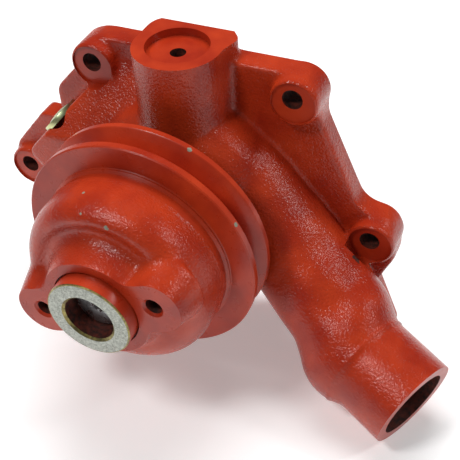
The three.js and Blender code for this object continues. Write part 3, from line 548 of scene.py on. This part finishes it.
def body_blank(bm, settings):
    """Every cast mass of the body, overlapping, with stock left where it is machined."""
    radius, neck = settings.passage_radius / MM, settings.neck_radius / MM
    prism(bm, FLANGE, -3, 12)
    for x, z in BOLTS.values():
        x, z = x + BOSS_SHIFT[0], z + BOSS_SHIFT[1]
        cylinder(bm, (x, 3, z), (x, -19, z), 12.8)
    x, z = BOLTS["left"]
    block(bm, (x, -18, z - 12), (x + 34, 3, z + 12))
    cylinder(bm, (*TOP_BOSS, 20), (*TOP_BOSS, TOP_FACE + 3), 22.6)
    back = [(-20.5, -3, 11), (-20.5, 20.5, 0), (18.3, 35.4, 0), (28, 6, 4), (20, -3, 0)]
    added(bm, Matrix.Rotation(math.radians(90), 4, "X"), prism, back, -20, -TOP_FACE - 3)
    turned(bm, [(0, -3), (54, -3), (54, 22), (51.6, 31), (46, 38.5), (39, 43.5), (34.5, 47),
                (32, 50.5), (32, NOSE_FRONT - 1.2), (30.8, NOSE_FRONT), (0, NOSE_FRONT)])
    added(bm, Matrix.Identity(4), leaning_block)
    sphere(bm, PASSAGE[0], radius)
    for start, end in zip(PASSAGE, PASSAGE[1:]):
        cylinder(bm, start, end, radius, segments=48)
        sphere(bm, end, radius)
    sphere(bm, PASSAGE[-1], radius + 0.6)
    prism(bm, [(62.6, -37.5, 0), (77.4, -18.5, 0), (102.5, -35, 4), (88, -54, 4)], 0, 30)
    cylinder(bm, NECK_ROOT, neck_point(NECK_LENGTH + 3), neck)
    cylinder(bm, neck_point(-4.5), neck_point(-2.5), radius + 0.7)


def body_softness(place):
    """Less rounding along the crisp corner between the passage and the flange."""
    start, end = Vector((47, -14, 42)), Vector((93, -14, -8))
    along = max(0.0, min(1.0, (place - start).dot(end - start) / (end - start).length_squared))
    gap = (place - start.lerp(end, along)).length
    return max(0.1, min(1.0, (gap - 4) / 10))


def body_tools(settings):
    """Milling, boring, drilling and coring, in the order that a shop would do them."""
    inner, bore = settings.passage_radius / MM - 6, settings.neck_bore / MM
    discharge = [(-43, 48, 3), (-51, 47, 3), (-79, 13, 3), (-67, -4, 3), (-56, 0, 4),
                 (-54, 24, 12)]
    bores = [(0, 37), (16.3, 37), (16.3, 43.5), (19.5, 44), (19.5, 48.2), (20.3, 48.2),
             (20.3, 54.9), (22.3, 55), (26.3, 55), (26.3, 98.05), (27.7, 98.05), (27.7, 100.1),
             (26.3, 100.1), (26.3, NOSE_FRONT - 1), (27.7, NOSE_FRONT + 0.4),
             (0, NOSE_FRONT + 0.4)]
    tools = [
        tool("joint_iron", block, (-300, 0, -300), (300, 60, 300)),
        tool("milled_enamel", block, (-300, -100, TOP_FACE), (300, 60, TOP_FACE + 40)),
        tool("milled_enamel", cylinder, neck_point(NECK_LENGTH), neck_point(NECK_LENGTH + 30),
             60),
        tool("milled_enamel", cylinder, (*TOP_BOSS, TOP_FACE - 4.2), (*TOP_BOSS, TOP_FACE + 5),
             16, segments=96),
        tool("rust_and_painted_shade_iron", cylinder, (*TOP_BOSS, 40), (*TOP_BOSS, TOP_FACE + 5), 4),
        tool("rust_and_painted_shade_iron", cylinder, neck_point(-2), neck_point(NECK_LENGTH + 5), bore,
             segments=96),
        tool("rust_and_painted_shade_iron", turned, [(0, 17), (48, 17), (44.5, 29), (35, 38), (0, 38)]),
        tool("rust_and_painted_shade_iron", cylinder, (0, 1, 0), (0, -13, 0), 41, segments=128),
        tool("rust_and_painted_shade_iron", cylinder, (0, -12, 0), (0, -18, 0), 22, segments=96),
        tool("rust_and_painted_shade_iron", prism, discharge, -1, 17),
        tool("rust_and_painted_shade_iron", prism, discharge[2:5] + [(-55, 13, 2), (-70, 24, 2)], 10, 34),
        tool("rust_and_painted_shade_iron", block, (-60, -13, 0), (-26, 1, 14)),
        tool("milled_iron", turned, bores),
        tool("rust_and_painted_shade_iron", cylinder, (0, -45.9, 0), (0, -45.9, -58), 3),
    ]
    tools += [tool("rust_and_painted_shade_iron", cylinder, a, b, inner, segments=40)
              for a, b in zip(PASSAGE[3:], PASSAGE[4:])]
    tools += [tool("rust_and_painted_shade_iron", sphere, place, inner, 3) for place in PASSAGE[4:]]
    for x, z in BOLTS.values():
        spot = (x + BOSS_SHIFT[0], -BOSS_FACE, z + BOSS_SHIFT[1])
        tools.append(tool("milled_enamel", cylinder, spot, (spot[0], -BOSS_FACE - 10, spot[2]),
                          11.4, segments=96))
        # The dry bolt holes take the dark iron finish as painted shade.
        tools.append(tool("rust_and_painted_shade_iron", cylinder, (x, 1, z), (x, -30, z), 5.3))
    tools.append(tool("milled_enamel", cylinder, PLUG_PLACE - 14 * PLUG_FACING,
                      PLUG_PLACE + 4 * PLUG_FACING, 11.2))
    return tools


PLUG_PLACE = Vector((-70.5, -26, 30.48))
PLUG_FACING = Vector((-0.746, 0, 0.666))


class PUMP_OT_core_plug(bpy.types.Operator):
    """Presses the domed plug, with its rolled rim, into the side of the chamber"""
    bl_idname = "pump.core_plug"
    bl_label = "Core plug"

    def execute(self, context):
        # The CAD plug's rim, with a deeper dome and a rolled edge.
        outside = [(11, -1.2), (11, 1.0), (10.7, 1.5), (10.1, 1.5), (9.6, 1.1), (8.4, 1.3),
                   (6.4, 1.9), (4.2, 2.3), (2.1, 2.55), (0, 2.6)]
        inside = [(0, 1.2), (6.2, 0.5), (9.2, -0.4), (10, -1.2)]
        bm = bmesh.new()
        turned(bm, inside + outside, segments=96)
        turn = Vector((0, -1, 0)).rotation_difference(PLUG_FACING).to_matrix().to_4x4()
        bmesh.ops.transform(bm, matrix=Matrix.Translation(PLUG_PLACE * MM) @ turn,
                            verts=bm.verts)
        made = to_object(bm, "pressed_core_plug", "zinc")
        finish(made, "housing", "core_plug")
        return {"FINISHED"}


class PUMP_OT_body(bpy.types.Operator):
    """Casts, mills and paints the pump body"""
    bl_idname = "pump.body"
    bl_label = "Pump body"

    def execute(self, context):
        settings = context.scene.pump_body
        bm = bmesh.new()
        body_blank(bm, settings)
        made = to_object(bm, "cast_pump_body", "cast_enamel")
        cast(made, settings.voxel, settings.fillet, body_softness)
        hollowed(made, HOLLOWS)
        seamed(made, *SEAM)
        carve(made, body_tools(settings))
        finish(made, "housing", "pump_body")
        return {"FINISHED"}


# ---------------------------------------------------------------- pulley and hub
SHOULDER = LUG_FACE - 8.55
RIM_FRONT = PULLEY_BACK + 20
TILT = Matrix.Rotation(-LUG_ANGLE, 3, "Y")


def pulley_blank(bm):
    """The bell with its shoulder, the two lugs and the pad that joins them round the hub."""
    outside = [(0, PULLEY_BACK - 6), (PULLEY_RADIUS + 8, PULLEY_BACK - 6),
               (PULLEY_RADIUS + 8, RIM_FRONT + 3), (53, RIM_FRONT + 3), (49, RIM_FRONT + 6)]
    outside += arc((32.4, SHOULDER - 17), 17, 0, 90, 12)
    turned(bm, outside + [(0, SHOULDER)])
    block(bm, (-LUG_REACH, -LUG_FACE - 4, -14.2), (LUG_REACH, -SHOULDER + 8, 13.6))
    for side in (-1, 1):
        x = side * LUG_REACH
        cylinder(bm, (x, -SHOULDER + 8, 0), (x, -LUG_FACE - 4, 0), 19, 13.2)
    cylinder(bm, (0, -SHOULDER + 4, 0), (0, -LUG_FACE - 2.5, 0), 33, 27)
    bmesh.ops.rotate(bm, cent=(0, 0, 0), matrix=TILT, verts=bm.verts)


def scooped(made, depth):
    """Presses the hollow above the lugs into the front of the bell."""
    level = TILT.inverted()
    for vert in made.data.vertices:
        place = level @ (vert.co / MM)
        radius = math.hypot(place.x, place.z)
        if -place.y < SHOULDER - 14 or radius < 20:
            continue
        lift = max(0.0, place.z / radius) ** 0.8
        vert.co.y += depth * lift * math.exp(-((radius - 35) / 5.5) ** 2)


def lug_point(side, distance):
    return TILT @ Vector((side * LUG_REACH, -distance, 0))


def pulley_tools(settings):
    """Turning of the rims, groove and bores, and drilling of the lugs."""
    width, depth = settings.groove_width / MM, settings.groove_depth / MM
    taper = depth * math.tan(math.radians(19))
    rear_edge = PULLEY_BACK + 3.8
    front_edge, rim = rear_edge + width, PULLEY_RADIUS
    shell = [(rim + 20, PULLEY_BACK - 9), (rim - 0.6, PULLEY_BACK - 9), (rim - 0.6, PULLEY_BACK),
             (rim, PULLEY_BACK + 0.6), (rim, rear_edge - 0.5), (rim - 0.5, rear_edge + 0.1),
             (rim - depth, rear_edge + taper), (rim - depth, front_edge - taper),
             (rim - 0.5, front_edge - 0.1), (rim, front_edge + 0.5), (rim, RIM_FRONT - 0.6),
             (rim - 0.6, RIM_FRONT), (50.4, RIM_FRONT), (50, RIM_FRONT + 0.4),
             (50, RIM_FRONT + 1.2), (49.6, RIM_FRONT + 1.6), (48.7, RIM_FRONT + 2.4),
             (48.5, RIM_FRONT + 4), (49.4, RIM_FRONT + 7.5), (51, RIM_FRONT + 9),
             (rim + 20, RIM_FRONT + 9)]
    inner = 42.4
    inside = [(0, PULLEY_BACK - 9), (rim + 20, PULLEY_BACK - 9), (rim + 20, PULLEY_BACK),
              (inner, PULLEY_BACK)]
    inside += arc((inner - 10, SHOULDER - 17), 10, 0, 90, 8) + [(0, SHOULDER - 7)]
    tools = [
        tool("turned_enamel", turned, shell, segments=192),
        # The dark iron finish inside the bell's dry hollow is painted shade.
        tool("rust_and_painted_shade_iron", turned, inside, segments=128),
        tool("turned_enamel", block, (-80, -LUG_FACE - 20, -80), (80, -LUG_FACE, 80)),
        tool("turned_enamel", cylinder, (0, -PULLEY_BACK, 0), (0, -LUG_FACE - 5, 0),
             HUB_RADIUS + 0.3, segments=128),
        tool("turned_enamel", cylinder, (0, -LUG_FACE + 4, 0), (0, -LUG_FACE - 5, 0),
             HUB_RADIUS + 0.9, segments=128),
    ]
    for side in (1, -1):
        tools += [
            # The lug holes take the dark iron finish as painted shade.
            tool("rust_and_painted_shade_iron", cylinder, lug_point(side, LUG_FACE - 20),
                 lug_point(side, LUG_FACE + 5), 4.2),
            tool("turned_enamel", cylinder, lug_point(side, LUG_FACE - 1.3),
                 lug_point(side, LUG_FACE + 0.5), 4.2, 6.0),
        ]
    return tools


class PUMP_OT_pulley(bpy.types.Operator):
    """Casts, turns and paints the belt pulley with its fan lugs"""
    bl_idname = "pump.pulley"
    bl_label = "Belt pulley"

    def execute(self, context):
        settings = context.scene.pump_pulley
        bm = bmesh.new()
        pulley_blank(bm)
        made = to_object(bm, "cast_belt_pulley", "bell_enamel")
        cast(made, settings.voxel, settings.fillet)
        scooped(made, settings.scoop)
        carve(made, pulley_tools(settings))
        finish(made, "rotor", "pulley")
        return {"FINISHED"}


class PUMP_OT_hub(bpy.types.Operator):
    """Turns the steel hub, bare on its face and painted round its side"""
    bl_idname = "pump.hub"
    bl_label = "Fan hub"

    def execute(self, context):
        bore = 12.8
        bm = bmesh.new()
        turned(bm, [
            (bore, HUB_BACK), (16.5, HUB_BACK), (16.5, LUG_FACE - 16.55),
            (HUB_RADIUS, LUG_FACE - 16.55), (HUB_RADIUS, HUB_FACE - 0.7),
            (HUB_RADIUS - 0.25, HUB_FACE - 0.2), (HUB_RADIUS - 0.7, HUB_FACE),
            (bore + 1.2, HUB_FACE), (bore, HUB_FACE - 1.1)], segments=160)
        made = to_object(bm, "turned_fan_hub", "hub_steel")

        def radius(place):
            return math.hypot(place.x, place.z)

        paint_faces(made, [
            ("turned_enamel", lambda p: radius(p) > HUB_RADIUS - 0.1 and -p.y < HUB_FACE - 0.5),
            ("hub_edge", lambda p: -p.y > HUB_FACE - 0.6 and radius(p) > HUB_RADIUS - 0.6),
            ("hub_edge", lambda p: -p.y > HUB_FACE - 1 and radius(p) < bore + 1),
            # The hub bore takes the dark iron finish as painted shade.
            ("rust_and_painted_shade_iron", lambda p: -p.y < HUB_FACE - 1.2 and radius(p) < bore + 0.1),
        ])
        finish(made, "rotor", "pulley_hub")
        return {"FINISHED"}


# ---------------------------------------------------------------- shaft and impeller
class PUMP_OT_shaft(bpy.types.Operator):
    """Turns the shaft, with its seal step, chamfers and centre-drilled ends"""
    bl_idname = "pump.shaft"
    bl_label = "Shaft"

    def execute(self, context):
        back = -reach("shaft", 1, 1)
        step = 47.5
        bm = bmesh.new()
        turned(bm, [
            (0, back + 4), (1.6, back + 2.4), (3, back), (7.4, back), (8, back + 0.6),
            (8, step - 1), (12.5, step), (12.5, SHAFT_FRONT - 1.2), (11.3, SHAFT_FRONT),
            (3.4, SHAFT_FRONT), (1.6, SHAFT_FRONT - 2.8), (0, SHAFT_FRONT - 4.4)])
        made = to_object(bm, "turned_shaft", "ground_steel")
        finish(made, "rotor", "shaft")
        return {"FINISHED"}


class PUMP_OT_impeller(bpy.types.Operator):
    """Casts the open impeller, with six backward-curved vanes"""
    bl_idname = "pump.impeller"
    bl_label = "Impeller"

    def execute(self, context):
        back, front, rim = 1.0, 12.0, 38.0
        bm = bmesh.new()
        cylinder(bm, (0, -back + 2, 0), (0, -back - 2.6, 0), rim + 2, segments=96)
        cylinder(bm, (0, -back + 2, 0), (0, -14, 0), 12, segments=96)
        outer = arc((-19, 0), 31.8, 0, 74, 14)
        inner = arc((-19, 0), 28.2, 74, 0, 14)
        for vane in range(6):
            added(bm, Matrix.Rotation(math.tau * vane / 6, 4, "Y"), prism,
                  [(x, z, 0) for x, z in outer + inner], back, front + 2)
        made = to_object(bm, "cast_impeller", "bare_iron")
        cast(made, 0.0007, 8)
        outside = [(rim, -10), (rim + 30, -10), (rim + 30, 30), (rim, 30)]
        carve(made, [
            tool("milled_iron", turned, outside, segments=128),
            tool("milled_iron", block, (-60, -back, -60), (60, 20, 60)),
            tool("milled_iron", turned, [(12.2, front), (60, front), (60, 30), (12.2, 30)]),
            tool("milled_iron", cylinder, (0, 5, 0), (0, -30, 0), 8.3, segments=96),
        ])
        finish(made, "rotor", "impeller")
        return {"FINISHED"}


# ---------------------------------------------------------------- bearings and seals
NODE_FINISHES = {
    "bearing_spacer": "hub_steel", "slinger": "brass", "seal_face_ring": "carbon",
    "seal_bellows": "rubber", "seal_spring": "spring_steel", "seal_front_retainer": "brass",
    "seal_rear_retainer": "brass", "housing_circlip": "spring_steel",
    "lip_seal": "rubber", "seal_seat_boot": "rubber", "seal_seat": "ceramic",
}


class PUMP_OT_bearings_and_seals(bpy.types.Operator):
    """Finishes the pieces that keep the shape the frame gives them"""
    bl_idname = "pump.bearings_and_seals"
    bl_label = "Bearings and seals"

    def execute(self, context):
        for name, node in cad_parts.items():
            look = NODE_FINISHES.get(name)
            if name.endswith("_cage"):
                look = "cage_steel"
            elif "_bearing_" in name:
                look = "bearing_steel"
            if look:
                for slot in node.material_slots:
                    slot.material = looks()[look]
        return {"FINISHED"}


# ---------------------------------------------------------------- stage
CAMERA_PLACE = (196.8, -365.8, 321.6)
CAMERA_BACK = Vector((0.334, -0.663, 0.670)).normalized()
CAMERA_RIGHT = Vector((0.912, 0.406, -0.053))
LENS = 74.35


def lamp(name, place, aim, width, height, power, mirrored=True):
    """A soft lamp; one that isn't mirrored lights the paint but leaves no highlight on it."""
    light = bpy.data.lights.new(name, "AREA")
    light.shape = "RECTANGLE"
    light.size, light.size_y = width * MM, height * MM
    light.energy = power
    made = bpy.data.objects.new(name, light)
    made.visible_glossy = mirrored
    place, aim = Vector(place) * MM, Vector(aim) * MM
    turn = (place - aim).to_track_quat("Z", "Y").to_matrix().to_4x4()
    made.matrix_world = Matrix.Translation(place) @ turn
    bpy.context.scene.collection.objects.link(made)


class PUMP_OT_stage(bpy.types.Operator):
    """Sets the pale floor, the soft lights and the camera"""
    bl_idname = "pump.stage"
    bl_label = "Stage"

    def execute(self, context):
        scene = context.scene
        bm = bmesh.new()
        low = Vector((0, 0, CAD_BOX[0][2] - 0.0006))
        bmesh.ops.create_grid(bm, x_segments=1, y_segments=1, size=6,
                              matrix=Matrix.Translation(low))
        floor = to_object(bm, "floor")
        card, _, shader, _ = new_material("matt_white_card")
        shader.inputs["Base Color"].default_value = linear("#F7F7F7")
        shader.inputs["Roughness"].default_value = 0.9
        shader.inputs["Specular IOR Level"].default_value = 0.1
        shader.inputs["Emission Color"].default_value = (1, 1, 1, 1)
        shader.inputs["Emission Strength"].default_value = 0.3
        floor.data.materials.append(card)

        world = bpy.data.worlds.new("studio")
        world.use_nodes = True
        world.node_tree.nodes.clear()
        sky = add(world.node_tree, "ShaderNodeBackground",
                  {"Color": (1.0, 1.0, 1.0, 1), "Strength": 0.1})
        add(world.node_tree, "ShaderNodeOutputWorld", {"Surface": sky.outputs[0]})
        scene.world = world

        lamp("overhead", (-100, 350, 1100), (0, -40, 0), 900, 700, 12, mirrored=False)
        lamp("softbox", (-250, -520, 820), (20, -60, 0), 170, 170, 3.5)
        lamp("right_high", (700, 150, 600), (40, -40, 0), 150, 150, 1.5)

        lens = bpy.data.cameras.new("camera")
        lens.sensor_width = 36
        lens.lens = LENS
        lens.clip_start = 0.01
        camera = bpy.data.objects.new("camera", lens)
        right = (CAMERA_RIGHT - CAMERA_BACK * CAMERA_RIGHT.dot(CAMERA_BACK)).normalized()
        turn = Matrix((right, CAMERA_BACK.cross(right), CAMERA_BACK)).transposed()
        camera.matrix_world = Matrix.Translation(Vector(CAMERA_PLACE) * MM) @ turn.to_4x4()
        scene.collection.objects.link(camera)
        scene.camera = camera
        scene.view_settings.view_transform = "Standard"
        return {"FINISHED"}


# ---------------------------------------------------------------- panel and registration
OPERATORS = (PUMP_OT_body, PUMP_OT_core_plug, PUMP_OT_pulley, PUMP_OT_hub, PUMP_OT_shaft,
             PUMP_OT_impeller, PUMP_OT_bearings_and_seals, PUMP_OT_stage)


class PUMP_PT_panel(bpy.types.Panel):
    """Lists the sizes of the pump and the operators that make it"""
    bl_idname = "PUMP_PT_panel"
    bl_label = "Coolant Pump"
    bl_space_type = "VIEW_3D"
    bl_region_type = "UI"
    bl_category = "Pump"

    def draw(self, context):
        for name in ("pump_paint", "pump_body", "pump_pulley"):
            settings = getattr(context.scene, name)
            for key in settings.bl_rna.properties.keys():
                if key not in ("rna_type", "name"):
                    self.layout.prop(settings, key)
        for operator in OPERATORS:
            self.layout.operator(operator.bl_idname)


CLASSES = (BodySettings, PulleySettings, PaintSettings, *OPERATORS, PUMP_PT_panel)


def register():
    for made in CLASSES:
        bpy.utils.register_class(made)
    bpy.types.Scene.pump_body = PointerProperty(type=BodySettings)
    bpy.types.Scene.pump_pulley = PointerProperty(type=PulleySettings)
    bpy.types.Scene.pump_paint = PointerProperty(type=PaintSettings)


def unregister():
    del bpy.types.Scene.pump_paint
    del bpy.types.Scene.pump_pulley
    del bpy.types.Scene.pump_body
    for made in reversed(CLASSES):
        bpy.utils.unregister_class(made)


def main():
    register()
    for operator in OPERATORS:
        name = operator.bl_idname.split(".")[1]
        getattr(bpy.ops.pump, name)()


if __name__ == "__main__":
    main()
